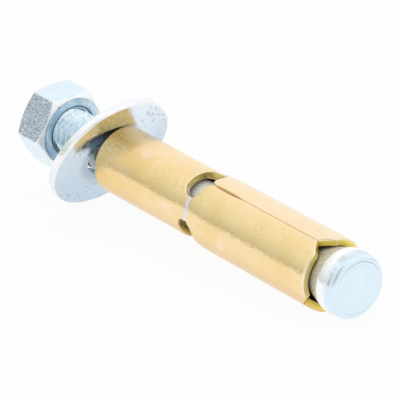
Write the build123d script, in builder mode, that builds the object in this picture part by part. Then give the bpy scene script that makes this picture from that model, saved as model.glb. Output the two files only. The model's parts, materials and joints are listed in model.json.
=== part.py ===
from build123d import *

# Sleeve anchor with a cone bolt, lying as it comes to rest: the rim of its leaning washer and
# the tips of its petals touch the floor, and the bolt's axis dips towards the head.
# Stations are measured along the bolt from the face of its head towards the nut.
# +X is towards the head, +Z is up, and the origin is on the floor below the middle of the bolt.

import os
from math import acos, atan, atan2, cos, degrees, hypot, radians, sin, tan

# Sizes of the bolt
thread_diameter = 7.85
thread_length = 36.0
thread_end_chamfer = 0.9
thread_pitch = 1.25
thread_depth = 0.7
shank_diameter = 7.7
head_diameter = 11.8
head_length = 3.5
head_nose_length = 2.4
head_nose_taper = 0.22
head_edge_round = 0.95
cone_half_angle = 19.0

# Sizes of the sleeve: a plain part, a collapse zone with three slots, and three petals
sleeve_length = 55.1
sleeve_wall = 1.4
sleeve_play = 0.6
sleeve_drop = 0.2
sleeve_end_chamfer = 0.3
petal_length = 29.4
petal_count = 3
petal_tip_chamfer = 0.2
petal_corner_round = 0.9
first_slot_angle = 15.5
slot_width = 4.1
slot_half_angle = 39.0
shoulder_flare = 0.45
shoulder_offset = 1.2
mouth_flare = 0.645
slit_turn_from_slot = 3.3
slit_width = 0.12
slit_open_width = 0.5
slit_open_length = 9.3
notch_depth = 1.9
notch_half_width = 2.5
crease_width = 0.6
crease_depth = 0.22
crease_offset = 0.65
cone_gap = 0.1

# Sizes of the washer
washer_diameter = 23.6
washer_thickness = 1.5
washer_play = 0.775
washer_rim_chamfer = 0.2
washer_clearance = 0.04
washer_seat_gap = 0.05

# Sizes of the nut
nut_across_flats = 13.0
nut_height = 6.5
nut_clearance = 0.05
nut_bearing_diameter = 12.1
nut_chamfer_angle = 30.0
nut_countersink = 0.4
nut_turn = 34.0
nut_slack = 6.07
stud_protrusion = 0.8

# Radii and stations that follow from the sizes
thread_radius = thread_diameter / 2
thread_root_radius = thread_radius - thread_depth
shank_radius = shank_diameter / 2
head_radius = head_diameter / 2
plain_bore_radius = thread_radius + sleeve_play
plain_radius = plain_bore_radius + sleeve_wall
mouth_radius = plain_radius + mouth_flare
cone_radius_at_mouth = mouth_radius - sleeve_wall - sleeve_drop - cone_gap
cone_slope = tan(radians(cone_half_angle))
mouth_station = head_length + (head_radius - cone_radius_at_mouth) / cone_slope
slot_near_station = mouth_station + petal_length
slot_far_station = slot_near_station + slot_width
sleeve_end_station = mouth_station + sleeve_length

# The washer leans as far as its hole lets it on the thread
washer_hole_diameter = thread_diameter + 2 * washer_play
hole_diagonal = hypot(washer_hole_diameter, washer_thickness)
lean = acos((thread_diameter + 2 * washer_clearance) / hole_diagonal)
lean -= atan(washer_thickness / washer_hole_diameter)
sleeve_end_top = plain_radius - sleeve_drop
washer_middle = washer_thickness / 2
washer_station = sleeve_end_station + sleeve_end_top * tan(lean) + washer_middle / cos(lean)
washer_station += washer_seat_gap

# The nut stands off the leaning washer, and the bolt ends just past the nut
nut_near_station = washer_station + washer_middle / cos(lean) + nut_bearing_diameter / 2 * tan(lean)
nut_near_station += nut_slack
nut_far_station = nut_near_station + nut_height
bolt_length = nut_far_station + stud_protrusion

# The dip of the axis, from the edge of the washer's rim and that of the petals' tips that touch the floor
rim_out = washer_diameter / 2
rim_forward = washer_middle - washer_rim_chamfer
rim_station = washer_station + rim_out * sin(lean) - rim_forward * cos(lean)
rim_depth = rim_out * cos(lean) + rim_forward * sin(lean)
tip_station = mouth_station + petal_tip_chamfer
tip_depth = mouth_radius + sleeve_drop
dip = atan2(rim_depth - tip_depth, rim_station - tip_station)
head_height = rim_depth * cos(dip) - rim_station * sin(dip)

# Directions: towards the nut along the axis, and up across it
to_nut = Vector(-cos(dip), 0, sin(dip))
to_head = -to_nut
up_across = Vector(sin(dip), 0, cos(dip))
to_side = Vector(0, -1, 0)
head_centre = Vector(bolt_length / 2 * cos(dip), 0, head_height)


def axis_point(station, lift=0.0):
    """The point of the bolt's axis at a station, lifted across the axis."""
    return head_centre + to_nut * station + up_across * lift


def radial(angle):
    """The direction out of the axis at an angle from up, turning towards -Y."""
    return up_across * cos(radians(angle)) + to_side * sin(radians(angle))


def lengthwise(lift=0.0, angle=0.0):
    """A plane through the axis: X is the station and Y the radius at that angle."""
    return Plane(axis_point(0, lift), x_dir=to_nut, z_dir=to_nut.cross(radial(angle)))


def crosswise(station):
    """A plane across the axis that faces the head: X is up and Y is to the side."""
    return Plane(axis_point(station), x_dir=up_across, z_dir=to_head)


def facing_out(angle):
    """A plane on the sleeve's axis that faces out at an angle: X is the station."""
    return Plane(axis_point(0, -sleeve_drop), x_dir=to_nut, z_dir=radial(angle))


bolt_axis = Axis(axis_point(0), to_head)
sleeve_axis = Axis(axis_point(0, -sleeve_drop), to_head)

# Cone bolt: a round-edged head, the cone that spreads the petals, a shank and a thread. The
# ridges of the thread are rings, and start where it comes out of the sleeve.
cone_end_station = head_length + (head_radius - shank_radius) / cone_slope
thread_start_station = bolt_length - thread_length
head_nose_radius = head_radius - head_nose_taper
ridge_count = int((bolt_length - thread_end_chamfer - sleeve_end_station) / thread_pitch)
ridges = []
for number in range(1, ridge_count + 1):
    ridge_station = sleeve_end_station + thread_pitch * number
    ridges.append((ridge_station - thread_pitch / 2, thread_root_radius))
    ridges.append((ridge_station, thread_radius))

with BuildPart() as cone_bolt:
    with BuildSketch(lengthwise()):
        with BuildLine():
            Polyline(
                (0, 0),
                (0, head_nose_radius),
                (head_nose_length, head_radius),
                (head_length, head_radius),
                (cone_end_station, shank_radius),
                (thread_start_station, shank_radius),
                (thread_start_station, thread_radius),
                (sleeve_end_station, thread_radius),
                *ridges,
                (bolt_length - thread_end_chamfer, thread_radius),
                (bolt_length, thread_radius - thread_end_chamfer),
                (bolt_length, 0),
                close=True,
            )
        make_face()
    revolve(axis=bolt_axis)
    head_face = cone_bolt.faces().sort_by(bolt_axis)[-1]
    fillet(head_face.edges(), head_edge_round)

# Sleeve: one tube that flares from its collapse zone to the mouth
outside = [
    (mouth_station, mouth_radius),
    (slot_near_station - shoulder_offset, plain_radius + shoulder_flare),
    (slot_far_station, plain_radius),
    (sleeve_end_station, plain_radius),
]
inside = [(station, radius - sleeve_wall) for station, radius in outside]
slot_end_angle = slot_half_angle - degrees(slot_width / 2 / plain_radius)
slot_middle_station = (slot_near_station + slot_far_station) / 2
slot_angles = [first_slot_angle + 360 / petal_count * number for number in range(petal_count)]
clear_radius = mouth_radius + 1

with BuildPart() as sleeve:
    with BuildSketch(lengthwise(-sleeve_drop)):
        with BuildLine():
            Polyline(*outside, *reversed(inside), close=True)
        make_face()
    revolve(axis=sleeve_axis)
    rings = sleeve.edges().filter_by(GeomType.CIRCLE)
    mouth_rings = rings.group_by(sleeve_axis)[-1]
    chamfer(mouth_rings.sort_by(SortBy.RADIUS)[-1], petal_tip_chamfer)
    rings = sleeve.edges().filter_by(GeomType.CIRCLE)
    end_rings = rings.group_by(sleeve_axis)[0]
    chamfer(end_rings.sort_by(SortBy.RADIUS)[-1], sleeve_end_chamfer)

    # The crease that the bridges between the slots fold at
    with BuildSketch(lengthwise(-sleeve_drop)):
        with Locations((slot_middle_station - crease_offset, plain_radius + shoulder_flare / 2)):
            Rectangle(crease_width, 2 * crease_depth)
    revolve(axis=sleeve_axis, mode=Mode.SUBTRACT)

    for slot_angle in slot_angles:
        # A slot with full round ends, along the sleeve's round
        with BuildSketch(lengthwise(-sleeve_drop, slot_angle - slot_end_angle)):
            with Locations((slot_middle_station, clear_radius / 2)):
                Rectangle(slot_width, clear_radius)
        revolve(axis=sleeve_axis, revolution_arc=2 * slot_end_angle, mode=Mode.SUBTRACT)
        for side in (-1, 1):
            with BuildSketch(facing_out(slot_angle + side * slot_end_angle)):
                with Locations((slot_middle_station, 0)):
                    Circle(slot_width / 2)
            extrude(amount=clear_radius, mode=Mode.SUBTRACT)

        # The slit from the slot to the mouth, open at the slot, with a notch at the tips
        with BuildSketch(facing_out(slot_angle + slit_turn_from_slot)):
            with BuildLine():
                slit_side = Polyline(
                    (slot_near_station - petal_corner_round, slit_open_width / 2),
                    (slot_near_station - slit_open_length / 2, slit_open_width / 2),
                    (slot_near_station - slit_open_length, slit_width / 2),
                    (mouth_station + notch_depth, slit_width / 2),
                    (mouth_station, notch_half_width),
                    (mouth_station - 1, notch_half_width),
                    (mouth_station - 1, 0),
                )
                corner_end = (slot_near_station, slit_open_width / 2 + petal_corner_round)
                petal_corner = TangentArc(slit_side @ 0, corner_end, tangent=(1, 0))
                Polyline(
                    petal_corner @ 1,
                    (slot_middle_station, slit_open_width / 2 + petal_corner_round),
                    (slot_middle_station, 0),
                )
                mirror(about=Plane.XZ)
            make_face()
        extrude(amount=clear_radius, mode=Mode.SUBTRACT)

# Washer: a flat ring that leans over the sleeve's end
lean_across = up_across * cos(lean) + to_head * sin(lean)
lean_to_head = to_head * cos(lean) - up_across * sin(lean)
washer_plane = Plane(axis_point(washer_station), x_dir=lean_across, z_dir=lean_to_head)

with BuildPart() as washer:
    with BuildSketch(washer_plane):
        Circle(washer_diameter / 2)
        Circle(washer_hole_diameter / 2, mode=Mode.SUBTRACT)
    extrude(amount=washer_middle, both=True)
    rings = washer.edges().filter_by(GeomType.CIRCLE)
    chamfer(rings.group_by(SortBy.RADIUS)[-1], washer_rim_chamfer)

# Hex nut: chamfered at both faces, countersunk at both ends of its bore
nut_radius = nut_across_flats / 2
corner_radius = nut_radius / cos(radians(30))
chamfer_length = (corner_radius - nut_bearing_diameter / 2) * tan(radians(nut_chamfer_angle))

with BuildPart() as hex_nut:
    with BuildSketch(crosswise(nut_far_station)):
        RegularPolygon(nut_radius, side_count=6, major_radius=False, rotation=nut_turn)
    extrude(amount=nut_height)
    with BuildSketch(lengthwise()):
        with BuildLine():
            Polyline(
                (nut_near_station, 0),
                (nut_near_station, nut_bearing_diameter / 2),
                (nut_near_station + chamfer_length, corner_radius),
                (nut_far_station - chamfer_length, corner_radius),
                (nut_far_station, nut_bearing_diameter / 2),
                (nut_far_station, 0),
                close=True,
            )
        make_face()
    revolve(axis=bolt_axis, mode=Mode.INTERSECT)
    with BuildSketch(crosswise(nut_far_station)):
        Circle(thread_radius + nut_clearance)
    extrude(amount=nut_height, mode=Mode.SUBTRACT)
    bore_rings = hex_nut.edges().filter_by(GeomType.CIRCLE).group_by(SortBy.RADIUS)[0]
    chamfer(bore_rings, nut_countersink)

pieces = {"cone_bolt": cone_bolt, "sleeve": sleeve, "washer": washer, "hex_nut": hex_nut}

os.makedirs("parts", exist_ok=True)
for name, piece in pieces.items():
    piece.part.label = name
    export_step(piece.part, f"parts/{name}.step")

print(f"lean {degrees(lean):.3f} deg, dip {degrees(dip):.3f} deg, head height {head_height:.4f} mm")
print(f"mouth {mouth_station:.4f}, washer {washer_station:.4f}, nut {nut_near_station:.4f} mm")
print(f"bolt length {bolt_length:.4f} mm, {ridge_count} ridges")
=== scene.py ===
# Looks of the sleeve anchor: a threaded cone bolt, a passivated sleeve, a wide washer and a hex nut
# on a white table. Sizes are in millimetres, angles in degrees, and the meshes in metres, in the
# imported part's frame. A station runs along the bolt from the face of its head towards the nut, and
# an angle turns round the bolt from up towards -Y.
import json
from math import cos, degrees, hypot, pi, radians, sin, sqrt, tan

import bmesh
import bpy
from mathutils import Matrix, Vector


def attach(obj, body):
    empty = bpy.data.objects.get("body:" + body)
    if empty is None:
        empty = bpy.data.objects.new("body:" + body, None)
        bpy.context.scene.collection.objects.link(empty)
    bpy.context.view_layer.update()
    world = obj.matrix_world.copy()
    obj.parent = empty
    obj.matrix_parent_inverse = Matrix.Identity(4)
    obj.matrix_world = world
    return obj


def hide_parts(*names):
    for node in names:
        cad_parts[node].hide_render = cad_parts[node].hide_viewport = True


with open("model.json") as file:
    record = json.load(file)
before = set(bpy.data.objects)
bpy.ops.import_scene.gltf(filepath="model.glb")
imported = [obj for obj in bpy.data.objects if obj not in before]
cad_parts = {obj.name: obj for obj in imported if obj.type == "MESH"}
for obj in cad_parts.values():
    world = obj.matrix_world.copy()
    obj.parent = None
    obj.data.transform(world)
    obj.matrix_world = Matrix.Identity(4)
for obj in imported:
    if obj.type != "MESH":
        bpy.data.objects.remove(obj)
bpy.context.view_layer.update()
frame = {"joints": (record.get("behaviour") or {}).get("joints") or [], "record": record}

MM = 0.001

# Bolt
BOLT_LENGTH = 82.0305
THREAD_RADIUS = 3.925
THREAD_ROOT_RADIUS = 3.225
THREAD_LENGTH = 36.0
THREAD_PITCH = 1.25
THREAD_RUNOUT = 3.0
THREAD_END_CHAMFER = 0.9
SHANK_RADIUS = 3.85
HEAD_RADIUS = 5.9
HEAD_LENGTH = 3.5
HEAD_NOSE_LENGTH = 2.4
HEAD_NOSE_RADIUS = 5.68
HEAD_EDGE_ROUND = 0.95
HEAD_RING_RADIUS = 4.68
HEAD_RING_WIDTH = 0.22
HEAD_RING_DEPTH = 0.03
HEAD_GROOVE_STATION = 1.6
HEAD_GROOVE_WIDTH = 0.9
HEAD_GROOVE_DEPTH = 0.08
CONE_HALF_ANGLE = 19.0
THREAD_STATION = BOLT_LENGTH - THREAD_LENGTH

# Where the bolt's plating looks different
HEAD_INNER_RING_RADIUS = 4.02
HEAD_SIDE_STATION = 2.0
RUBBED_STATION = 4.15
RUBBED_END_STATION = 10.5
SHADED_STUD_STATION = 58.0

# Sleeve
SLEEVE_DROP = 0.2
SLEEVE_WALL = 1.4
PLAIN_RADIUS = 5.925
MOUTH_RADIUS = 6.57
MOUTH_STATION = 6.4913
SLEEVE_LENGTH = 55.1
PETAL_COUNT = 3
PETAL_LENGTH = 29.4
PETAL_CORNER_ROUND = 0.9
FIRST_SLOT_ANGLE = 15.5
SLOT_WIDTH = 4.1
SLOT_HALF_ANGLE = 39.0
SHOULDER_FLARE = 0.45
SHOULDER_OFFSET = 1.2
SLIT_TURN_FROM_SLOT = 3.3
SLIT_WIDTH = 0.07
SLIT_OPEN_WIDTH = 0.5
SLIT_MOUTH_WIDTH = 0.25
SLIT_OPEN_LENGTH = 9.3
NOTCH_DEPTH = 1.9
NOTCH_HALF_WIDTH = 2.5
CREASE_WIDTH = 0.7
CREASE_DEPTH = 0.2
CREASE_OFFSET = 0.65
SLEEVE_EDGE_ROUND = 0.25
PETAL_TIP_ROUND = 0.35
SLIT_EDGE_ROUND = 0.1
INNER_EDGE_ROUND = 0.1
SLOT_NEAR_STATION = MOUTH_STATION + PETAL_LENGTH
SLOT_MIDDLE_STATION = SLOT_NEAR_STATION + SLOT_WIDTH / 2
SLEEVE_END_STATION = MOUTH_STATION + SLEEVE_LENGTH
CREASE_STATION = SLOT_MIDDLE_STATION - CREASE_OFFSET

# Distances round the sleeve from a slot's middle, at its plain radius
SLOT_BEND = radians(SLOT_HALF_ANGLE) * PLAIN_RADIUS - SLOT_WIDTH / 2
SLIT_FROM_SLOT = radians(SLIT_TURN_FROM_SLOT) * PLAIN_RADIUS

# Washer
WASHER_RADIUS = 11.8
WASHER_HOLE_RADIUS = 4.7
WASHER_THICKNESS = 1.5
WASHER_RIM_ROUND = 0.35
WASHER_HOLE_ROUND = 0.15
WASHER_STATION = 65.0768
WASHER_LEAN = 24.52

# Nut
NUT_ACROSS_FLATS = 13.0
NUT_HEIGHT = 6.5
NUT_NEAR_STATION = 74.7305
NUT_BEARING_RADIUS = 6.05
NUT_CHAMFER_ANGLE = 30.0
NUT_BORE_RADIUS = 3.975
NUT_COUNTERSINK = 0.4
NUT_GROOVE_DEPTH = 0.3
NUT_TURN = 34.0
NUT_EDGE_ROUND = 0.3

# How finely the meshes are divided
WELD_DISTANCE = 0.002
ROUND_STEPS = 8
BEVEL_SEGMENTS = 3
BEVEL_ANGLE = 20.0
BOLT_SEGMENTS = 96
WASHER_SEGMENTS = 128
NUT_SIDE_SEGMENTS = 16

# The sleeve's columns run round the petal's corner, along the slot's edge, round the slot's end and
# over half a bridge, and its rows are narrow at both ends of a petal and of the collar
CORNER_TURNS = range(0, 91, 15)
STRAIGHT_SHARES = (0.35, 0.7, 1.0)
BEND_TURNS = range(12, 85, 12)
BRIDGE_SHARES = (0.0, 0.04, 0.1, 0.2, 0.4, 0.7, 1.0)
COLUMN_COUNT = len([*CORNER_TURNS, *STRAIGHT_SHARES, *BEND_TURNS, *BRIDGE_SHARES])
BRIDGE_COLUMN = COLUMN_COUNT - len(BRIDGE_SHARES)
FIRST_ROW = 0.05
ROW_GROWTH = 1.4
PETAL_WIDEST_ROW = 0.9
COLLAR_WIDEST_ROW = 1.2

# The share of an edge's round, from the edge on, that shows as the sleeve's rim
RIM_SHARE = 0.6

# Camera, as the photo was taken: the head's centre lies so far to the right, down and ahead of it
CAMERA_HEADING = 50.47
CAMERA_DIP = 22.0
CAMERA_LENS = 722.9
CAMERA_SENSOR = 36.0
HEAD_FROM_CAMERA = (25.89, 14.44, 1313.0)

# Light and stage, with sizes in metres and the lamp's power in watts
WORLD_LIGHT = 0.65
FLOOR_SIZE = 6.0
FLOOR_COLOUR = (0.9, 0.9, 0.9, 1)
FLOOR_GLOW = 0.94
LAMP_SIZE = 0.8
LAMP_POWER = 2.5
LAMP_PLACE = (-0.15, 0.1, 0.9)
CARD_REACH = 0.22

# Directions and places from the frame
mounts = {mount["name"]: mount for mount in frame["record"]["mounts"]}
joints = {joint["name"]: joint for joint in frame["joints"]}
HEAD_CENTRE = Vector(mounts["head_face"]["pos_m"])
TO_NUT = Vector(joints["bolt_draw"]["axis"]).normalized()
TO_SIDE = Vector((0, -1, 0))
UP_ACROSS = TO_NUT.cross(TO_SIDE)


def around(station, radius, angle, drop=0.0):
    """The point at a station, a radius and an angle, from an axis that lies lower by the drop."""
    out = UP_ACROSS * (radius * cos(radians(angle)) - drop) + TO_SIDE * radius * sin(radians(angle))
    return HEAD_CENTRE + (TO_NUT * station + out) * MM


# Mesh tools


def grid_faces(rows, columns, wrap_rows=False, wrap_columns=False):
    """Quads over points that are stored row by row, wound to face out of a body of revolution."""
    faces = []
    for row in range(rows if wrap_rows else rows - 1):
        for column in range(columns if wrap_columns else columns - 1):
            next_row, next_column = (row + 1) % rows, (column + 1) % columns
            faces.append((
                row * columns + column,
                row * columns + next_column,
                next_row * columns + next_column,
                next_row * columns + column,
            ))
    return faces


def piece_from(name, points, faces, materials, body, edge_round=0.0, face_materials=None):
    """A smooth piece that rides on a body, with its sharper edges rounded. The faces named for a
    number have that one of the materials, and the others the first."""
    mesh = bpy.data.meshes.new(name)
    mesh.from_pydata(points, [], faces)
    for material in materials:
        mesh.materials.append(material)
    for number, indices in (face_materials or {}).items():
        for index in indices:
            mesh.polygons[index].material_index = number
    build = bmesh.new()
    build.from_mesh(mesh)
    bmesh.ops.remove_doubles(build, verts=build.verts, dist=WELD_DISTANCE * MM)
    bmesh.ops.recalc_face_normals(build, faces=build.faces)
    build.to_mesh(mesh)
    build.free()
    mesh.polygons.foreach_set("use_smooth", [True] * len(mesh.polygons))
    piece = bpy.data.objects.new(name, mesh)
    bpy.context.scene.collection.objects.link(piece)
    if edge_round:
        bevel = piece.modifiers.new("edge_round", "BEVEL")
        bevel.width = edge_round * MM
        bevel.segments = BEVEL_SEGMENTS
        bevel.limit_method = "ANGLE"
        bevel.angle_limit = radians(BEVEL_ANGLE)
        bevel.harden_normals = True
    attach(piece, body)
    return piece


def rounded(corners):
    """An outline of (station, radius) points from corners of (station, radius, size of round)."""
    outline = [Vector(corners[0][:2])]
    for before, (station, radius, size), after in zip(corners, corners[1:], corners[2:]):
        corner = Vector((station, radius))
        if not size:
            outline.append(corner)
            continue
        arm_before = (Vector(before[:2]) - corner).normalized()
        arm_after = (Vector(after[:2]) - corner).normalized()
        half = arm_before.angle(arm_after) / 2
        centre = corner + (arm_before + arm_after).normalized() * size / sin(half)
        start = corner + arm_before * size / tan(half) - centre
        end = corner + arm_after * size / tan(half) - centre
        for step in range(ROUND_STEPS + 1):
            outline.append(centre + start.lerp(end, step / ROUND_STEPS).normalized() * size)
    outline.append(Vector(corners[-1][:2]))
    return outline


# Materials


def set_input(node, key, value):
    """Gives a node's input a value, or links it when the value is another node's output."""
    if isinstance(value, bpy.types.NodeSocket):
        node.id_data.links.new(value, node.inputs[key])
    else:
        node.inputs[key].default_value = value


def add_node(tree, kind, inputs=None, **settings):
    made = tree.nodes.new(kind)
    for key, value in settings.items():
        setattr(made, key, value)
    for key, value in (inputs or {}).items():
        set_input(made, key, value)
    return made


class Recipe:
    """A material's node tree, with short calls to add and link nodes. Places are in millimetres."""

    def __init__(self, name):
        self.material = bpy.data.materials.new(name)
        self.material.use_nodes = True
        self.tree = self.material.node_tree
        inputs = {"Vector": self.add("ShaderNodeTexCoord").outputs["Object"], "Scale": 1 / MM}
        self.place = self.add("ShaderNodeVectorMath", inputs, operation="SCALE").outputs["Vector"]
        self.from_head = self.vector_maths("SUBTRACT", self.place, tuple(HEAD_CENTRE / MM))

    def add(self, kind, inputs=None, **settings):
        return add_node(self.tree, kind, inputs, **settings)

    def noise(self, scale, detail=3.0, rough=0.5, place=None):
        place = place or self.place
        inputs = {"Vector": place, "Scale": scale, "Detail": detail, "Roughness": rough}
        return self.add("ShaderNodeTexNoise", inputs).outputs["Fac"]

    def stretched(self, turn, stretch):
        """The place turned, and stretched along its own X by shrinking that coordinate."""
        turn = [radians(angle) for angle in turn]
        inputs = {"Vector": self.place, "Rotation": turn, "Scale": (1 / stretch, 1, 1)}
        return self.add("ShaderNodeMapping", inputs).outputs["Vector"]

    def ramp(self, value, low, high, start=0.0, end=1.0):
        """A value taken from start at low to end at high, and no further."""
        inputs = {"Value": value, "From Min": low, "From Max": high, "To Min": start, "To Max": end}
        made = self.add("ShaderNodeMapRange", inputs, interpolation_type="SMOOTHSTEP")
        return made.outputs["Result"]

    def blend(self, share, first, second):
        """A colour that goes from the first to the second as the share goes from 0 to 1. The mix
        node's colours are its inputs 6 and 7 and its output 2."""
        inputs = {0: share}
        for key, colour in ((6, first), (7, second)):
            inputs[key] = colour if isinstance(colour, bpy.types.NodeSocket) else (*colour, 1)
        return self.add("ShaderNodeMix", inputs, data_type="RGBA").outputs[2]

    def clouded(self, clouds, first, second):
        """A colour that goes from the first to the second with a noise."""
        return self.blend(self.ramp(clouds, 0.35, 0.65), first, second)

    def uneven(self, low, high):
        """A roughness that wanders between two values."""
        return self.ramp(self.noise(1.1), 0.3, 0.7, low, high)

    def edges(self, low, high):
        """1 on the mesh's ridges and 0 on flat ground."""
        pointiness = self.add("ShaderNodeNewGeometry").outputs["Pointiness"]
        return self.ramp(pointiness, low, high)

    def distance(self, direction):
        """How far a place lies from the middle of the head's face in a direction."""
        return self.vector_maths("DOT_PRODUCT", self.from_head, tuple(direction), "Value")

    def station(self):
        return self.distance(TO_NUT)

    def height(self):
        return self.distance(UP_ACROSS)

    def radius(self):
        """How far a place lies from the bolt's axis."""
        across = self.vector_maths("CROSS_PRODUCT", self.from_head, tuple(TO_NUT))
        return self.vector_maths("DISTANCE", across, (0, 0, 0), "Value")

    def maths(self, operation, first, second=0.0):
        return self.add("ShaderNodeMath", {0: first, 1: second}, operation=operation).outputs[0]

    def vector_maths(self, operation, first, second, output="Vector"):
        made = self.add("ShaderNodeVectorMath", {0: first, 1: second}, operation=operation)
        return made.outputs[output]

    def times(self, product, *factors):
        for factor in factors:
            product = self.maths("MULTIPLY", product, factor)
        return product

    def band(self, value, low, high, soft):
        """1 from low to high, and 0 beyond a soft edge on both sides."""
        rise = self.ramp(value, low - soft, low + soft)
        return self.times(rise, self.ramp(value, high - soft, high + soft, 1, 0))

    def bump(self, height, depth, below=None):
        """Relief of a depth in millimetres, on top of the relief below it."""
        inputs = {"Height": height, "Distance": depth * MM, "Strength": 1.0}
        if below:
            inputs["Normal"] = below
        return self.add("ShaderNodeBump", inputs).outputs["Normal"]

    def finish(self, colour, rough, normal, metallic=1.0):
        inputs = {"Base Color": colour, "Roughness": rough, "Normal": normal, "Metallic": metallic}
        for key, value in inputs.items():
            set_input(self.tree.nodes["Principled BSDF"], key, value)
        return self.material


def zinc(name, pale, deep, rough, grain=0.002, speck=0.5, metallic=1.0):
    """Blue-white zinc plating: cloudy tint, fine grain, scratches, specks and bright worn edges."""
    recipe = Recipe(name)
    colour = recipe.clouded(recipe.noise(0.45, detail=4.0, rough=0.6), pale, deep)
    scratches = recipe.noise(3.0, detail=2.0, place=recipe.stretched((0, 0, 30), 14))
    scratches = recipe.ramp(scratches, 0.62, 0.72)
    specks = recipe.ramp(recipe.noise(2.6, detail=2.0, rough=0.7), 0.69, 0.76)
    colour = recipe.blend(recipe.ramp(specks, 0, 1, 0, speck), colour, (0.30, 0.36, 0.42))
    colour = recipe.blend(recipe.edges(0.53, 0.60), colour, (0.90, 0.94, 0.97))
    relief = recipe.bump(recipe.noise(5.0, detail=2.0), grain)
    relief = recipe.bump(scratches, 2 * grain, relief)
    relief = recipe.bump(recipe.noise(0.35, detail=1.0), 0.05, relief)
    return recipe.finish(colour, recipe.uneven(rough - 0.05, rough + 0.07), relief, metallic)


def bolt_plating(name):
    """The bolt's plating: clear on the head's face, with two rings whose dark colour is painted
    shade that fades at its middle height, brushed in the groove of its taper, frosted on the shank,
    white on its side as a painted highlight and a little duller there, matt from rubbing where the
    petals sit and beige there as a painted reflection of the petals, and clouded on the thread, with
    painted shade on the stud up to the washer."""
    recipe = Recipe(name)
    along, across, height = recipe.station(), recipe.radius(), recipe.height()
    wander = recipe.maths("SUBTRACT", recipe.noise(0.9, detail=3.0, rough=0.6), 0.5)
    zone = recipe.maths("ADD", along, wander)
    grain = recipe.noise(2.4, detail=4.0, rough=0.75)

    # Zones with uneven borders, from the head's side to the washer
    clouds = recipe.noise(0.45, detail=4.0, rough=0.6)
    colour = recipe.clouded(clouds, (0.79, 0.92, 1.0), (0.77, 0.90, 1.0))
    # The head's side: white as a painted highlight, and a little duller (see below)
    side = recipe.band(zone, HEAD_SIDE_STATION, RUBBED_STATION, 0.25)
    colour = recipe.blend(side, colour, (1.0, 1.0, 1.0))
    # Matt from rubbing where the petals sit, and tinted beige as a painted reflection of the petals
    cone = recipe.band(zone, RUBBED_STATION, RUBBED_END_STATION, 0.4)
    rubbed_with_petal_reflection = recipe.blend(recipe.ramp(grain, 0.38, 0.62), (0.51, 0.50, 0.41), (0.78, 0.78, 0.69))
    colour = recipe.blend(cone, colour, rubbed_with_petal_reflection)
    thread = recipe.ramp(along, THREAD_STATION - 0.5, THREAD_STATION + 0.5)
    stained = recipe.ramp(recipe.noise(1.1, detail=3.0), 0.52, 0.66)
    stained = recipe.blend(stained, (0.80, 0.93, 1.0), (0.62, 0.76, 0.84))
    colour = recipe.blend(thread, colour, stained)
    # Painted shade on the stud in the gap up to the washer
    stud_shade = recipe.band(zone, SHADED_STUD_STATION, WASHER_STATION + 1.0, 0.8)
    colour = recipe.blend(recipe.times(stud_shade, 0.85), colour, (0.24, 0.29, 0.33))

    # Marks on the head's taper, and painted shade in the rings on its face
    marks = recipe.noise(0.9, detail=4.0, rough=0.7, place=recipe.stretched((0, 0, 90), 2.5))
    marks = recipe.times(recipe.ramp(marks, 0.40, 0.60, 0, 0.8), recipe.ramp(height, -1, 3))
    brushed = recipe.times(recipe.band(along, 0.7, 2.2, 0.35), marks)
    colour = recipe.blend(brushed, colour, (0.66, 0.70, 0.75))
    on_face = recipe.band(along, -1.0, 0.12, 0.05)
    # The rings' dark colour is painted shade: strongest at the top, weaker at the bottom, faint at
    # middle height
    upper, lower = recipe.ramp(height, 1.0, 4.2, 0.1, 1), recipe.ramp(height, -4.2, -3.0, 0.4, 0)
    ring_shade_mask = recipe.times(on_face, recipe.maths("MAXIMUM", upper, lower))
    ring = recipe.band(across, HEAD_RING_RADIUS - 0.04, HEAD_RING_RADIUS + 0.04, 0.04)
    colour = recipe.blend(recipe.times(ring, ring_shade_mask), colour, (0.14, 0.18, 0.24))
    ring = recipe.band(across, HEAD_INNER_RING_RADIUS - 0.04, HEAD_INNER_RING_RADIUS + 0.04, 0.05)
    colour = recipe.blend(recipe.times(ring, ring_shade_mask, 0.3), colour, (0.35, 0.42, 0.52))

    # The shank, and how dull each zone is
    shank = recipe.band(zone, RUBBED_END_STATION, THREAD_STATION, 0.35)
    colour = recipe.blend(shank, colour, (0.95, 0.98, 1.0))
    dull = recipe.maths("MAXIMUM", cone, recipe.times(side, 0.12))
    dull = recipe.maths("MAXIMUM", dull, shank)
    roughness = recipe.maths("ADD", recipe.uneven(0.18, 0.26), recipe.times(dull, 0.2))
    metallic = recipe.maths("SUBTRACT", 1.0, recipe.times(dull, 0.55))
    turning = recipe.maths("SINE", recipe.times(across, 14.0))
    relief = recipe.bump(recipe.times(turning, on_face), 0.001)
    relief = recipe.bump(recipe.times(grain, cone), 0.03, relief)
    relief = recipe.bump(recipe.noise(0.35, detail=1.0), 0.04, relief)
    return recipe.finish(colour, roughness, relief, metallic)


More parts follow.
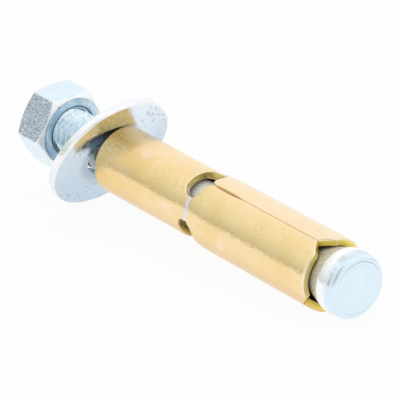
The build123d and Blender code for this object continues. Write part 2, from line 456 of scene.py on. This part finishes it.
def washer_plating(name):
    """The washer's plating: grey-lilac clouds, paler upwards as painted light and darker downwards
    as painted shade, with fine scratches and patches of dark marks, and painted shade round the
    hole."""
    recipe = Recipe(name)
    # Clouds mixed with painted light and shade: paler towards the top, darker towards the bottom
    clouds = recipe.times(recipe.noise(0.13, detail=3.0, rough=0.5), 12.0)
    clouds = recipe.maths("SUBTRACT", recipe.height(), clouds)
    colour = recipe.blend(recipe.ramp(clouds, -13.0, 7.0), (0.57, 0.69, 0.79), (0.82, 0.89, 0.96))
    scratches = recipe.noise(4.0, detail=2.0, place=recipe.stretched((20, 60, 35), 16))
    scratches = recipe.ramp(scratches, 0.60, 0.72)
    colour = recipe.blend(recipe.times(scratches, 0.35), colour, (0.88, 0.92, 0.96))
    patch = recipe.ramp(recipe.noise(0.22, detail=2.0), 0.46, 0.58, 0.1, 1)
    marks = recipe.noise(1.6, detail=4.0, rough=0.75, place=recipe.stretched((20, 60, 35), 2.5))
    marks = recipe.times(recipe.ramp(marks, 0.52, 0.62, 0, 0.8), patch)
    colour = recipe.blend(marks, colour, (0.42, 0.47, 0.55))
    middle = tuple(around(WASHER_STATION, 0, 0) / MM)
    from_middle = recipe.vector_maths("DISTANCE", recipe.place, middle, "Value")
    # Painted shade round the hole, where the sleeve's end shades the washer
    hole_shade = recipe.ramp(from_middle, WASHER_HOLE_RADIUS + 0.7, WASHER_HOLE_RADIUS + 2.3, 0.5, 0)
    colour = recipe.blend(hole_shade, colour, (0.30, 0.33, 0.38))
    relief = recipe.bump(scratches, 0.004)
    relief = recipe.bump(recipe.noise(0.35, detail=1.0), 0.05, relief)
    return recipe.finish(colour, recipe.uneven(0.12, 0.20), relief)


def bearing_plating(name):
    """The nut's bearing face: teal between darker lines at the countersink and at the chamfer."""
    recipe = Recipe(name)
    across = recipe.radius()
    clouds = recipe.noise(0.6, detail=3.0, rough=0.6)
    colour = recipe.clouded(clouds, (0.78, 0.90, 0.96), (0.58, 0.72, 0.80))
    countersink = NUT_BORE_RADIUS + NUT_COUNTERSINK
    # The darker line at the countersink is painted shade of the recess
    inner = recipe.ramp(across, countersink + 0.075, countersink + 0.475, 1, 0)
    outer = recipe.ramp(across, NUT_BEARING_RADIUS - 0.25, NUT_BEARING_RADIUS - 0.07)
    colour = recipe.blend(recipe.maths("MAXIMUM", inner, outer), colour, (0.17, 0.25, 0.30))
    relief = recipe.bump(recipe.noise(0.5, detail=2.0), 0.04)
    return recipe.finish(colour, 0.28, relief)


def passivated(name, pale, deep, rough, metallic=1.0):
    """Yellow passivated zinc: peach-gold to olive clouds, richer towards the washer, with a painted
    highlight that makes the top paler and pinker, painted shade underneath and on the top near the
    washer, pink stains, dark pits, bright specks that are painted glints, drawing lines, and a
    painted lilac highlight along the crease."""
    recipe = Recipe(name)
    along, height = recipe.station(), recipe.height()
    clouds = recipe.noise(0.16, detail=3.0, rough=0.5)
    colour = recipe.clouded(clouds, pale, deep)
    rich = recipe.ramp(recipe.maths("ADD", along, recipe.times(clouds, 12.0)), 50, 70, 0, 0.75)
    colour = recipe.blend(rich, colour, (0.88, 0.60, 0.24))
    # Painted highlight: paler and pinker along the top
    colour = recipe.blend(recipe.ramp(height, 5.2, 6.2, 0, 0.7), colour, (1.0, 0.82, 0.58))
    # Painted shade: darker and richer underneath
    colour = recipe.blend(recipe.ramp(height, -4.5, -1.0, 0.9, 0), colour, (0.82, 0.55, 0.25))
    shaded = recipe.times(recipe.ramp(along, 52, 60), recipe.ramp(height, 2.5, 5.5, 0, 0.8))
    colour = recipe.blend(shaded, colour, (0.70, 0.47, 0.16))
    stains = recipe.noise(0.22, detail=3.0, place=recipe.stretched((0, 0, 0), 1.6))
    colour = recipe.blend(recipe.ramp(stains, 0.56, 0.80, 0, 0.6), colour, (1.0, 0.84, 0.74))

    # Grain in patches, stronger on the upper half: dark pits, and bright specks that are painted
    # glints
    grain = recipe.noise(2.3, detail=3.0, rough=0.6)
    patch = recipe.ramp(recipe.noise(0.25, detail=2.0), 0.40, 0.58, 0.3, 1)
    patch = recipe.times(patch, recipe.maths("ADD", recipe.band(height, 0.5, 5.0, 1.0), 0.6))
    pits = recipe.times(recipe.ramp(grain, 0.36, 0.46, 0.2, 0), patch)
    colour = recipe.blend(pits, colour, (0.70, 0.55, 0.26))
    # Bright specks: painted glints
    specks = recipe.times(recipe.ramp(grain, 0.56, 0.66, 0, 0.4), patch)
    colour = recipe.blend(specks, colour, (1.0, 0.93, 0.72))

    # A painted lilac highlight along the crease
    crease_highlight = recipe.maths("ADD", along, recipe.times(recipe.noise(0.7), 0.8))
    crease_highlight = recipe.band(crease_highlight, CREASE_STATION, CREASE_STATION + 0.9, 0.35)
    colour = recipe.blend(recipe.times(crease_highlight, 0.85), colour, (0.80, 0.80, 0.90))
    lines = recipe.noise(2.2, detail=2.0, place=recipe.stretched((0, 0, 0), 30))
    roughness = recipe.ramp(recipe.noise(1.4, detail=2.0), 0.3, 0.7, rough - 0.04, rough + 0.06)
    relief = recipe.bump(grain, 0.035)
    relief = recipe.bump(lines, 0.003, relief)
    relief = recipe.bump(recipe.noise(0.3, detail=1.0), 0.07, relief)
    return recipe.finish(colour, roughness, relief, metallic)


def punched(name):
    """Walls punched through the sleeve: brown and fractured near its inside, and that brown is
    partly painted shade, with painted shade underneath, a painted pink highlight at the slots' ends,
    painted light that makes the petals' tips brighter, and a painted highlight on a line at their
    corner."""
    recipe = Recipe(name)
    height = recipe.height()
    streaks = recipe.noise(1.6, detail=3.0)
    colour = recipe.clouded(streaks, (0.84, 0.70, 0.24), (0.62, 0.51, 0.17))
    # Brown near the inside: a fractured band, and also painted shade of the sleeve's hollow
    torn_and_shaded = recipe.maths("ADD", recipe.radius(), recipe.times(streaks, 0.5))
    colour = recipe.blend(recipe.ramp(torn_and_shaded, 4.9, 5.4, 0.5, 0), colour, (0.36, 0.20, 0.09))
    # Painted shade: darker underneath
    colour = recipe.blend(recipe.ramp(height, -1, 1, 0.6, 0), colour, (0.42, 0.30, 0.10))
    # A painted pink highlight at the slots' ends
    slot_end_highlight = recipe.times(recipe.band(height, 1.0, 3.6, 0.5), 0.85)
    colour = recipe.blend(slot_end_highlight, colour, (1.0, 0.80, 0.62))
    # Painted light: the petals' tips brighter, in a yellow that differs with height
    tip = recipe.ramp(recipe.station(), MOUTH_STATION + 2.0, MOUTH_STATION + 4.0, 1, 0)
    bright = recipe.blend(recipe.band(height, -3.0, 3.2, 1.0), (1.0, 0.77, 0.17), (1.0, 0.85, 0.38))
    colour = recipe.blend(tip, colour, bright)
    # A painted highlight on a line at the top petal's corner
    corner = recipe.band(recipe.distance(TO_SIDE), -0.64, -0.44, 0.08)
    corner_highlight = recipe.times(tip, recipe.ramp(height, 2, 3), corner)
    colour = recipe.blend(corner_highlight, colour, (1.0, 0.93, 0.84))
    relief = recipe.bump(recipe.noise(2.4, detail=3.0), 0.02)
    return recipe.finish(colour, 0.34, relief, 0.75)


def torn_steel(name):
    """The nut facet that the shears tore: coarse, glittering and grey-blue under the plating."""
    recipe = Recipe(name)
    grain = recipe.ramp(recipe.noise(3.6, detail=4.0, rough=0.8), 0.40, 0.60)
    colour = recipe.blend(grain, (0.27, 0.34, 0.45), (0.82, 0.89, 1.0))
    relief = recipe.bump(recipe.noise(4.0, detail=4.0, rough=0.8), 0.10)
    return recipe.finish(colour, 0.35, relief)


bolt_zinc = bolt_plating("bolt_zinc")
washer_zinc = washer_plating("washer_zinc")
# The washer's rim, paler than its faces: a painted highlight
washer_rim_highlight = zinc("washer_rim_highlight", (0.97, 0.98, 1.0), (0.88, 0.91, 0.95), 0.20, speck=0.6)
nut_zinc = zinc("nut_zinc", (0.80, 0.91, 0.98), (0.76, 0.89, 0.97), 0.22, grain=0.0003, speck=0.04)
nut_torn = torn_steel("nut_torn")
nut_bearing = bearing_plating("nut_bearing")
# The chamfer's whiter zinc is a painted highlight
nut_chamfer_highlight = zinc(
    "nut_chamfer_highlight", (1.0, 1.0, 1.0), (0.94, 0.98, 1.0), 0.26, grain=0.0003, speck=0.06,
    metallic=0.95)
sleeve_gold = passivated("sleeve_gold", (0.97, 0.75, 0.42), (0.94, 0.71, 0.35), 0.16)
sleeve_cut = punched("sleeve_cut")
sleeve_slit = passivated("sleeve_slit", (1.0, 0.78, 0.44), (0.96, 0.70, 0.34), 0.40, metallic=0.0)
sleeve_rim = passivated("sleeve_rim", (1.0, 0.88, 0.66), (1.0, 0.84, 0.58), 0.24, metallic=0.9)


# Cone bolt


def bolt_head_outline():
    """The head's face with its ring, the rounded edge, the groove in its taper, and the cone."""
    cone_end = HEAD_LENGTH + (HEAD_RADIUS - SHANK_RADIUS) / tan(radians(CONE_HALF_ANGLE))
    taper = (HEAD_RADIUS - HEAD_NOSE_RADIUS) / HEAD_NOSE_LENGTH
    groove = [HEAD_GROOVE_STATION + side * HEAD_GROOVE_WIDTH / 2 for side in (-1, 0, 1)]
    depths = (0, HEAD_GROOVE_DEPTH, 0)
    return rounded([
        (0, 0, 0),
        (0, HEAD_RING_RADIUS - HEAD_RING_WIDTH / 2, 0.03),
        (HEAD_RING_DEPTH, HEAD_RING_RADIUS, 0.03),
        (0, HEAD_RING_RADIUS + HEAD_RING_WIDTH / 2, 0.01),
        (0, HEAD_NOSE_RADIUS, HEAD_EDGE_ROUND),
        *[(s, HEAD_NOSE_RADIUS + taper * s - depth, 0.3) for s, depth in zip(groove, depths)],
        (HEAD_NOSE_LENGTH, HEAD_RADIUS, 0.8),
        (HEAD_LENGTH, HEAD_RADIUS, 4.0),
        (cone_end, SHANK_RADIUS, 2.0),
        (THREAD_STATION, SHANK_RADIUS, 0),
    ])


def thread_radius(station, profile_radius):
    """The thread's radius where it rises from the shank and where its end is chamfered."""
    rise = min(1.0, max(0.0, (station - THREAD_STATION) / THREAD_RUNOUT))
    radius = SHANK_RADIUS + (profile_radius - SHANK_RADIUS) * rise
    return min(radius, THREAD_RADIUS - THREAD_END_CHAMFER + BOLT_LENGTH - station)


def make_bolt():
    """The bolt: the head, the cone and the shank from one outline, and the thread as a helix."""
    turns = [360 * segment / BOLT_SEGMENTS for segment in range(BOLT_SEGMENTS)]
    outline = bolt_head_outline()
    points = [around(station, radius, turn) for station, radius in outline for turn in turns]
    faces = grid_faces(len(outline), BOLT_SEGMENTS, wrap_columns=True)

    # The thread is a strip with the profile of one pitch, swept along the helix. The profile's
    # points are (share of the pitch, radius)
    middle = (THREAD_RADIUS + THREAD_ROOT_RADIUS) / 2
    profile = [
        (0.00, THREAD_ROOT_RADIUS),
        (0.07, THREAD_ROOT_RADIUS + 0.02),
        (0.13, THREAD_ROOT_RADIUS + 0.09),
        (0.28, middle),
        (0.42, THREAD_RADIUS - 0.05),
        (0.46, THREAD_RADIUS),
        (0.54, THREAD_RADIUS),
        (0.58, THREAD_RADIUS - 0.05),
        (0.72, middle),
        (0.87, THREAD_ROOT_RADIUS + 0.09),
        (0.93, THREAD_ROOT_RADIUS + 0.02),
        (1.00, THREAD_ROOT_RADIUS),
    ]
    steps = (int(THREAD_LENGTH / THREAD_PITCH) + 3) * BOLT_SEGMENTS
    first = len(points)
    for step in range(steps + 1):
        turn = 360 * step / BOLT_SEGMENTS
        for share, radius in profile:
            station = THREAD_STATION + THREAD_PITCH * (step / BOLT_SEGMENTS - 1 + share)
            station = min(max(station, THREAD_STATION), BOLT_LENGTH)
            points.append(around(station, thread_radius(station, radius), turn))
    strip = grid_faces(steps + 1, len(profile))
    faces += [tuple(first + index for index in reversed(face)) for face in strip]

    # The flat end of the thread
    faces.append(tuple(range(len(points), len(points) + BOLT_SEGMENTS)))
    points += [around(BOLT_LENGTH, THREAD_RADIUS - THREAD_END_CHAMFER, turn) for turn in turns]
    bolt = piece_from("cone_bolt_threaded", points, faces, [bolt_zinc], "bolt_body")
    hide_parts("cone_bolt")


# Sleeve


def sleeve_radius(station):
    """The sleeve's outside: it flares from the slots to the shoulder, and on to the mouth."""
    bends = [
        (MOUTH_STATION, MOUTH_RADIUS),
        (SLOT_NEAR_STATION - SHOULDER_OFFSET, PLAIN_RADIUS + SHOULDER_FLARE),
        (SLOT_NEAR_STATION + SLOT_WIDTH, PLAIN_RADIUS),
    ]
    for (here, radius), (there, next_radius) in zip(bends, bends[1:]):
        if station <= there:
            return radius + (next_radius - radius) * (station - here) / (there - here)
    return PLAIN_RADIUS


def crease(station):
    """How deep the bridges between the slots are creased."""
    away = abs(station - CREASE_STATION) / (CREASE_WIDTH / 2)
    return CREASE_DEPTH * (0.5 + 0.5 * cos(pi * min(1.0, away)))


def slit_half_width(station):
    """Half the slit's width, which gapes a little way from its slot and closes to a line."""
    away = (SLOT_NEAR_STATION - station) / SLIT_OPEN_LENGTH
    bends = [
        (0.0, SLIT_MOUTH_WIDTH),
        (0.15, SLIT_MOUTH_WIDTH),
        (0.32, SLIT_OPEN_WIDTH),
        (0.6, SLIT_OPEN_WIDTH),
        (1.0, SLIT_WIDTH),
    ]
    for (here, width), (there, next_width) in zip(bends, bends[1:]):
        if away <= there:
            share = 0.5 - 0.5 * cos(pi * max(0.0, away - here) / (there - here))
            return (width + (next_width - width) * share) / 2
    return SLIT_WIDTH / 2


def slot_half_width(across):
    """Half the slot's width at a distance round the sleeve from its middle, with round ends."""
    into_end = max(0.0, abs(across) - SLOT_BEND)
    return sqrt(max(0.0, (SLOT_WIDTH / 2) ** 2 - into_end ** 2))


def petal_corner(from_edge):
    """How far the petal's corner between slot and slit is rounded back."""
    into_corner = max(0.0, PETAL_CORNER_ROUND - from_edge)
    return PETAL_CORNER_ROUND - sqrt(max(0.0, PETAL_CORNER_ROUND ** 2 - into_corner ** 2))


def notch(from_slit):
    """How far the petal's tip is cut back beside the slit."""
    return NOTCH_DEPTH * max(0.0, 1 - from_slit * MOUTH_RADIUS / PLAIN_RADIUS / NOTCH_HALF_WIDTH)


def from_slot_edge(station, across):
    """How far a place lies outside the slot's edge."""
    return hypot(max(0.0, abs(across) - SLOT_BEND), station - SLOT_MIDDLE_STATION) - SLOT_WIDTH / 2


def petal_margin(station, across, slit):
    """How far a place on the petals lies from the nearest edge, as a share of that edge's round,
    and the size of the round."""
    from_slit = (across - slit - slit_half_width(station)) / SLIT_EDGE_ROUND, SLIT_EDGE_ROUND
    from_slot = from_slot_edge(station, across)
    into_corner_across = PETAL_CORNER_ROUND - (across - slit - SLIT_MOUTH_WIDTH / 2)
    into_corner_along = PETAL_CORNER_ROUND - (SLOT_NEAR_STATION - station)
    if min(into_corner_across, into_corner_along) > 0:
        from_slot = PETAL_CORNER_ROUND - hypot(into_corner_across, into_corner_along)
    notch_slope = NOTCH_HALF_WIDTH / hypot(NOTCH_DEPTH, NOTCH_HALF_WIDTH)
    tip = (station - petal_begin(across, slit)) * notch_slope
    if tip < PETAL_TIP_ROUND:
        return min((tip / PETAL_TIP_ROUND, PETAL_TIP_ROUND), from_slit)
    return min((from_slot / SLEEVE_EDGE_ROUND, SLEEVE_EDGE_ROUND), from_slit)


def collar_margin(station, across, slit):
    """The same for a place on the collar."""
    margin = min(from_slot_edge(station, across), SLEEVE_END_STATION - station)
    return margin / SLEEVE_EDGE_ROUND, SLEEVE_EDGE_ROUND


def columns(edge):
    """Distances round the sleeve from a slot's middle, from the slit's edge to the middle of the
    bridge: they are closer together where the petal's corner and the slot's end are round."""
    corner = [edge + PETAL_CORNER_ROUND * (1 - cos(radians(turn))) for turn in CORNER_TURNS]
    straight = [corner[-1] + (SLOT_BEND - corner[-1]) * share for share in STRAIGHT_SHARES]
    bend = [SLOT_BEND + SLOT_WIDTH / 2 * sin(radians(turn)) for turn in BEND_TURNS]
    slot_end = SLOT_BEND + SLOT_WIDTH / 2
    half_sector = radians(180 / PETAL_COUNT) * PLAIN_RADIUS
    bridge = [slot_end + (half_sector - slot_end) * share for share in BRIDGE_SHARES]
    return corner + straight + bend + bridge


def spaced(length, widest):
    """Shares of a length from 0 to 1, close together at both ends and wider between them."""
    offsets, step = [0.0], FIRST_ROW
    while offsets[-1] < length / 2:
        offsets.append(offsets[-1] + step)
        step = min(step * ROW_GROWTH, widest)
    half = [offset / offsets[-1] / 2 for offset in offsets]
    return half + [1 - share for share in reversed(half[:-1])]


# Stations where a petal and the collar begin and end, at a distance round the sleeve


def petal_begin(across, slit):
    return MOUTH_STATION + notch(across - slit)


def petal_end(across, slit):
    corner = petal_corner(across - slit - SLIT_MOUTH_WIDTH / 2)
    return SLOT_MIDDLE_STATION - slot_half_width(across) - corner


def collar_begin(across, slit):
    return SLOT_MIDDLE_STATION + slot_half_width(across)


def collar_end(across, slit):
    return SLEEVE_END_STATION


def skin_points(slot_angle, shares, begin_at, end_at, half_gap, margin_at, inner):
    """Points of one skin of a petal or of a third of the collar, row by row, from slit to slit, and
    whether each lies on a rounded edge. Shares run from where the skin begins to where it ends."""
    rows = [[] for share in shares]
    for side in (1, -1):
        slit = side * SLIT_FROM_SLOT
        first = columns(slit + half_gap(MOUTH_STATION))
        last = columns(slit + half_gap(SLOT_NEAR_STATION))
        order = range(COLUMN_COUNT) if side > 0 else reversed(range(COLUMN_COUNT - 1))
        for column in order:
            begin, end = begin_at(first[column], slit), end_at(last[column], slit)
            for row, share in zip(rows, shares):
                station = begin + share * (end - begin)
                across = columns(slit + half_gap(station))[column]
                from_slot = degrees(across / PLAIN_RADIUS)
                angle = slot_angle + (from_slot if side > 0 else 360 / PETAL_COUNT - from_slot)
                margin, size = margin_at(station, across, slit)
                if inner:
                    margin, size = margin * size / INNER_EDGE_ROUND, INNER_EDGE_ROUND
                drop = size * (1 - sqrt(1 - (1 - min(1.0, max(0.0, margin))) ** 2))
                offset = drop - SLEEVE_WALL if inner else -drop
                radius = sleeve_radius(station) - crease(station) + offset
                row.append((around(station, radius, angle, SLEEVE_DROP), margin < RIM_SHARE))
    return [place for row in rows for place in row]


def make_sleeve():
    """The sleeve: petals and a collar, with an outer skin, an inner skin and the walls between."""
    petal_rows = spaced(PETAL_LENGTH, PETAL_WIDEST_ROW)
    collar_rows = spaced(SLEEVE_LENGTH - PETAL_LENGTH - SLOT_WIDTH, COLLAR_WIDEST_ROW)
    petal = (petal_rows, petal_begin, petal_end, slit_half_width, petal_margin)
    collar = (collar_rows, collar_begin, collar_end, lambda station: 0.0, collar_margin)
    places, faces, cut, rims, slit_walls = [], [], [], [], []
    row_length = 2 * COLUMN_COUNT - 1
    over_slot = [*range(BRIDGE_COLUMN), *range(row_length - 1 - BRIDGE_COLUMN, row_length - 1)]
    everywhere = range(row_length - 1)
    for number in range(PETAL_COUNT):
        slot_angle = FIRST_SLOT_ANGLE + 360 / PETAL_COUNT * number
        for part in (petal, collar):
            row_count = len(part[0])
            outer = len(places)
            places += skin_points(slot_angle, *part, inner=False)
            inner = len(places)
            places += skin_points(slot_angle, *part, inner=True)
            skin = grid_faces(row_count, row_length)
            for first in (outer, inner):
                faces += [tuple(first + index for index in face) for face in skin]
            for index in range(len(faces) - 2 * len(skin), len(faces) - len(skin)):
                if all(places[corner][1] for corner in faces[index]):
                    rims.append(index)

            # Walls that the slot, the slit and the ends cut through the sleeve
            top = (row_count - 1) * row_length
            steps = [(a, a + 1) for a in (everywhere if part is petal else over_slot)]
            steps += [(top + a, top + a + 1) for a in (over_slot if part is petal else everywhere)]
            cut += range(len(faces), len(faces) + len(steps))
            if part is petal:
                slit_walls_begin = len(faces) + len(steps)
                for side in (0, row_length - 1):
                    steps += [(a, a + row_length) for a in range(side, top + side, row_length)]
                slit_walls += range(slit_walls_begin, len(faces) + len(steps))
            faces += [(outer + a, outer + b, inner + b, inner + a) for a, b in steps]
    points = [point for point, on_rim in places]
    sleeve = piece_from(
        "sleeve_rounded", points, faces, [sleeve_gold, sleeve_cut, sleeve_rim, sleeve_slit],
        "sleeve_body", face_materials={1: cut, 2: rims, 3: slit_walls})
    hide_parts("sleeve")


# Washer


def make_washer():
    """The washer, which leans on the sleeve's end."""
    half = WASHER_THICKNESS / 2
    outline = rounded([
        (0, WASHER_HOLE_RADIUS, 0),
        (half, WASHER_HOLE_RADIUS, WASHER_HOLE_ROUND),
        (half, WASHER_RADIUS, WASHER_RIM_ROUND),
        (-half, WASHER_RADIUS, WASHER_RIM_ROUND),
        (-half, WASHER_HOLE_RADIUS, WASHER_HOLE_ROUND),
        (0, WASHER_HOLE_RADIUS, 0),
    ])
    lean = radians(WASHER_LEAN)
    axis = -TO_NUT * cos(lean) - UP_ACROSS * sin(lean)
    across = UP_ACROSS * cos(lean) - TO_NUT * sin(lean)
    centre = around(WASHER_STATION, 0, 0)
    points = []
    for along, radius in outline:
        for segment in range(WASHER_SEGMENTS):
            turn = 2 * pi * segment / WASHER_SEGMENTS
            out = (across * cos(turn) + TO_SIDE * sin(turn)) * radius
            points.append(centre + (axis * along + out) * MM)
    faces = grid_faces(len(outline), WASHER_SEGMENTS, wrap_columns=True)

    # The rim's rows follow the outline's first point and the first round of the hole
    round_rows = ROUND_STEPS + 1
    first_row, last_row = 1 + round_rows, 3 * round_rows
    rim = range(first_row * WASHER_SEGMENTS, last_row * WASHER_SEGMENTS)
    washer = piece_from(
        "washer_rounded", points, faces, [washer_zinc, washer_rim_highlight], "washer_body",
        face_materials={1: rim})
    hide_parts("washer")


# Hex nut


def make_nut():
    """The nut, from rings of points: the near face, the flats, the far face and the bore."""
    slope = tan(radians(NUT_CHAMFER_ANGLE))
    steps = [60 * step / NUT_SIDE_SEGMENTS for step in range(NUT_SIDE_SEGMENTS)]
    turns = [NUT_TURN + 60 * side + step for side in range(6) for step in steps]
    near, far = NUT_NEAR_STATION, NUT_NEAR_STATION + NUT_HEIGHT

    def hex_radius(turn):
        return NUT_ACROSS_FLATS / 2 / cos(radians((turn - NUT_TURN) % 60 - 30))

    def ring(station, radius):
        return [around(station, radius, turn) for turn in turns]

    def chamfer_ring(face, inward):
        drop = [(hex_radius(turn) - NUT_BEARING_RADIUS) * slope for turn in turns]
        return [around(face + inward * d, hex_radius(turn), turn) for d, turn in zip(drop, turns)]

    rings = [
        ring(near + NUT_COUNTERSINK, NUT_BORE_RADIUS),
        ring(near, NUT_BORE_RADIUS + NUT_COUNTERSINK),
        ring(near, NUT_BEARING_RADIUS),
        chamfer_ring(near, 1),
        chamfer_ring(far, -1),
        ring(far, NUT_BEARING_RADIUS),
        ring(far, NUT_BORE_RADIUS + NUT_COUNTERSINK),
    ]

    # Grooves for the thread in the bore, from the far countersink towards the near one
    grooves = int((NUT_HEIGHT - 2 * NUT_COUNTERSINK) / THREAD_PITCH)
    for step in range(2 * grooves + 1):
        station = far - NUT_COUNTERSINK - step * THREAD_PITCH / 2
        rings.append(ring(station, NUT_BORE_RADIUS + step % 2 * NUT_GROOVE_DEPTH))
    points = [point for ring_points in rings for point in ring_points]
    faces = grid_faces(len(rings), len(turns), wrap_rows=True, wrap_columns=True)

    # After the near countersink's faces come the bearing face's, the chamfer's and the facets'
    bearing, chamfer, facets = [band * len(turns) for band in (1, 2, 3)]
    kinds = {
        1: range(facets, facets + NUT_SIDE_SEGMENTS),
        2: range(bearing, chamfer),
        3: range(chamfer, facets),
    }
    nut = piece_from(
        "hex_nut_rounded", points, faces, [nut_zinc, nut_torn, nut_bearing, nut_chamfer_highlight],
        "nut_body", edge_round=NUT_EDGE_ROUND, face_materials=kinds)
    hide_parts("hex_nut")


make_bolt()
make_sleeve()
make_washer()
make_nut()


# Stage: a white floor, and white surroundings that metal sees too


def seen_directly(tree):
    """1 for camera, glossy and transmission rays, and 0 for the light that falls on things."""
    rays = add_node(tree, "ShaderNodeLightPath")
    seen = rays.outputs["Is Camera Ray"]
    for kind in ("Is Glossy Ray", "Is Transmission Ray"):
        inputs = {0: seen, 1: rays.outputs[kind]}
        seen = add_node(tree, "ShaderNodeMath", inputs, operation="MAXIMUM").outputs[0]
    return seen


def make_world():
    """Surroundings that look pure white but light things less strongly."""
    world = bpy.data.worlds.new("surroundings")
    bpy.context.scene.world = world
    world.use_nodes = True
    tree = world.node_tree
    light = tree.nodes["Background"]
    set_input(light, "Color", (1, 1, 1, 1))
    set_input(light, "Strength", WORLD_LIGHT)
    white = add_node(tree, "ShaderNodeBackground", {"Color": (1, 1, 1, 1)})
    inputs = {0: seen_directly(tree), 1: light.outputs[0], 2: white.outputs[0]}
    mix = add_node(tree, "ShaderNodeMixShader", inputs)
    set_input(tree.nodes["World Output"], "Surface", mix.outputs[0])


def stage_material(name):
    """A material without its usual surface shader."""
    material = bpy.data.materials.new(name)
    material.use_nodes = True
    material.node_tree.nodes.remove(material.node_tree.nodes["Principled BSDF"])
    return material


def stage_plane(name, centre, facing, width, height, material):
    """A rectangle of the stage, with its middle at a place."""
    mesh = bpy.data.meshes.new(name)
    x, y = width / 2, height / 2
    mesh.from_pydata([(-x, -y, 0), (x, -y, 0), (x, y, 0), (-x, y, 0)], [], [(0, 1, 2, 3)])
    mesh.materials.append(material)
    plane = bpy.data.objects.new(name, mesh)
    bpy.context.scene.collection.objects.link(plane)
    turn = Vector(facing).to_track_quat("Z", "Y").to_matrix().to_4x4()
    plane.matrix_world = Matrix.Translation(centre) @ turn
    return plane


def make_floor():
    """A white floor that shows soft shadows and is nearly as bright as the surroundings."""
    material = stage_material("floor_white")
    tree = material.node_tree
    paper = add_node(tree, "ShaderNodeBsdfDiffuse", {"Color": FLOOR_COLOUR})
    glow = add_node(tree, "ShaderNodeEmission", {"Strength": 1.0})
    inputs = {0: seen_directly(tree), 1: FLOOR_GLOW}
    share = add_node(tree, "ShaderNodeMath", inputs, operation="MULTIPLY").outputs[0]
    inputs = {0: share, 1: paper.outputs[0], 2: glow.outputs[0]}
    mix = add_node(tree, "ShaderNodeMixShader", inputs)
    set_input(tree.nodes["Material Output"], "Surface", mix.outputs[0])
    stage_plane("floor", (0, 0, 0), (0, 0, 1), FLOOR_SIZE, FLOOR_SIZE, material)


def make_card(name, bearing, half_width, shades):
    """A card that metal reflects. Seen from the anchor it stands at a bearing, and its shades are
    (elevation, colour) from its lower edge to its upper one."""
    material = stage_material(name)
    tree = material.node_tree
    place = add_node(tree, "ShaderNodeTexCoord").outputs["Generated"]
    height = add_node(tree, "ShaderNodeSeparateXYZ", {0: place}).outputs["Y"]
    shade = add_node(tree, "ShaderNodeValToRGB", {0: height})
    glow = add_node(tree, "ShaderNodeEmission", {"Color": shade.outputs[0]})
    set_input(tree.nodes["Material Output"], "Surface", glow.outputs[0])
    heights = [CARD_REACH * tan(radians(elevation)) for elevation, colour in shades]
    bottom, top = heights[0], heights[-1]
    stops = shade.color_ramp.elements
    for height in heights[1:-1]:
        stops.new((height - bottom) / (top - bottom))
    for stop, height, (elevation, colour) in zip(stops, heights, shades):
        stop.position = (height - bottom) / (top - bottom)
        stop.color = (*colour, 1)
    toward = Vector((cos(radians(bearing)), sin(radians(bearing)), 0))
    centre = toward * CARD_REACH + Vector((0, 0, (bottom + top) / 2))
    width = 2 * CARD_REACH * tan(radians(half_width))
    card = stage_plane(name, centre, -toward, width, top - bottom, material)
    card.visible_camera = False
    card.visible_diffuse = False
    card.visible_shadow = False


def make_lamp():
    """A soft lamp above, which metal doesn't reflect."""
    data = bpy.data.lights.new("softbox", "AREA")
    data.size = LAMP_SIZE
    data.energy = LAMP_POWER
    lamp = bpy.data.objects.new("softbox", data)
    bpy.context.scene.collection.objects.link(lamp)
    lamp.location = LAMP_PLACE
    lamp.rotation_euler = Vector(lamp.location).to_track_quat("Z", "Y").to_euler()
    lamp.visible_glossy = False


def make_camera():
    heading, dip = radians(CAMERA_HEADING), radians(CAMERA_DIP)
    right = Vector((cos(heading), sin(heading), 0))
    forward = Vector((-sin(heading) * cos(dip), cos(heading) * cos(dip), -sin(dip)))
    down = forward.cross(right)
    data = bpy.data.cameras.new("camera")
    data.sensor_width = CAMERA_SENSOR
    data.lens = CAMERA_LENS
    camera = bpy.data.objects.new("camera", data)
    bpy.context.scene.collection.objects.link(camera)
    to_right, to_down, ahead = HEAD_FROM_CAMERA
    place = HEAD_CENTRE - (right * to_right + down * to_down + forward * ahead) * MM
    turn = Matrix((right, -down, -forward)).transposed().to_4x4()
    camera.matrix_world = Matrix.Translation(place) @ turn
    bpy.context.scene.camera = camera


make_world()
make_floor()
make_card("card_left", 205, 48, [
    (0.1, (0.50, 0.52, 0.46)),
    (4, (0.58, 0.60, 0.54)),
    (10, (0.69, 0.72, 0.66)),
    (20, (0.77, 0.80, 0.74)),
    (27, (0.82, 0.85, 0.79)),
    (36, (0.88, 0.91, 0.86)),
    (44, (0.93, 0.94, 0.91)),
    (50, (0.97, 0.97, 0.96)),
])
make_card("card_behind_camera", 313, 27, [
    (4, (0.62, 0.63, 0.66)),
    (60, (0.62, 0.63, 0.66)),
])
make_card("card_right", 33, 52, [
    (0.1, (0.70, 0.70, 0.68)),
    (5, (0.76, 0.77, 0.76)),
    (9, (0.95, 0.95, 0.95)),
])
make_lamp()
make_camera()
bpy.context.scene.view_settings.view_transform = "Standard"
